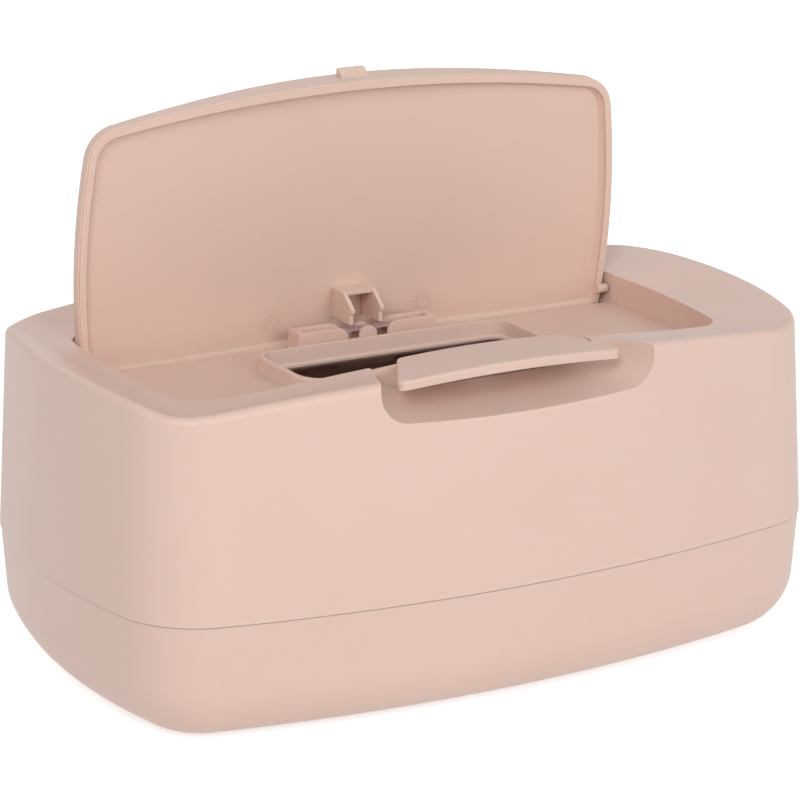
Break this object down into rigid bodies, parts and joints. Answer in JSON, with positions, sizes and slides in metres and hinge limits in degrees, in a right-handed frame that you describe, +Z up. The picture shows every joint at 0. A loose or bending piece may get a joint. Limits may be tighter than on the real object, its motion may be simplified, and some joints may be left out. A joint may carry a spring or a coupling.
{
  "type": "baby wipes box",
  "caption": "Oblong wipes box with a sprung crowned lid over a raised dispensing opening, a push paddle over a finger scoop and a lift-off upper half.",
  "frame": {"origin": "on the standing surface under the middle of the base", "axes": "+Z up, the button's side is the front at -Y, +X to the right along the length seen from the front"},
  "size_m": [0.23, 0.1458, 0.1651],
  "materials": {
    "shell": "fine matt",
    "lid": "fine matt",
    "button": "fine matt",
    "base": "fine matt",
    "strip": "smooth, slightly translucent grey",
    "pins": "drawn",
    "coil": "drawn",
    "feet": "matt"
  },
  "bodies": {
    "base": {"base_tray": "base", "foot_front_left": "feet", "foot_front_right": "feet", "foot_back_left": "feet", "foot_back_right": "feet"},
    "top": {"upper_housing": "shell", "leaf_spring": "strip", "button_spring": "coil"},
    "lid": {"lid": "lid", "hinge_pin_left": "pins", "hinge_pin_right": "pins"},
    "button": {"release_button": "button", "button_pin_left": "pins", "button_pin_right": "pins"}
  },
  "joints": [
    {"name": "top_lift", "type": "slide", "parent": "base", "child": "top", "axis": [0, 0, 1], "range_m": [0, 0.09]},
    {"name": "lid_hinge", "type": "hinge", "parent": "top", "child": "lid", "pos_m": [0, 0.0306, 0.0878], "axis": [1, 0, 0], "range_deg": [0, 84.8], "stiffness_Nm_per_rad": 0.015, "springref_deg": -17.19, "deforming": ["leaf_spring"]},
    {"name": "button_press", "type": "hinge", "parent": "top", "child": "button", "pos_m": [0, -0.0456, 0.0862], "axis": [1, 0, 0], "range_deg": [0, 8.5], "stiffness_Nm_per_rad": 0.3, "springref_deg": -2.86, "deforming": ["button_spring"]}
  ]
}
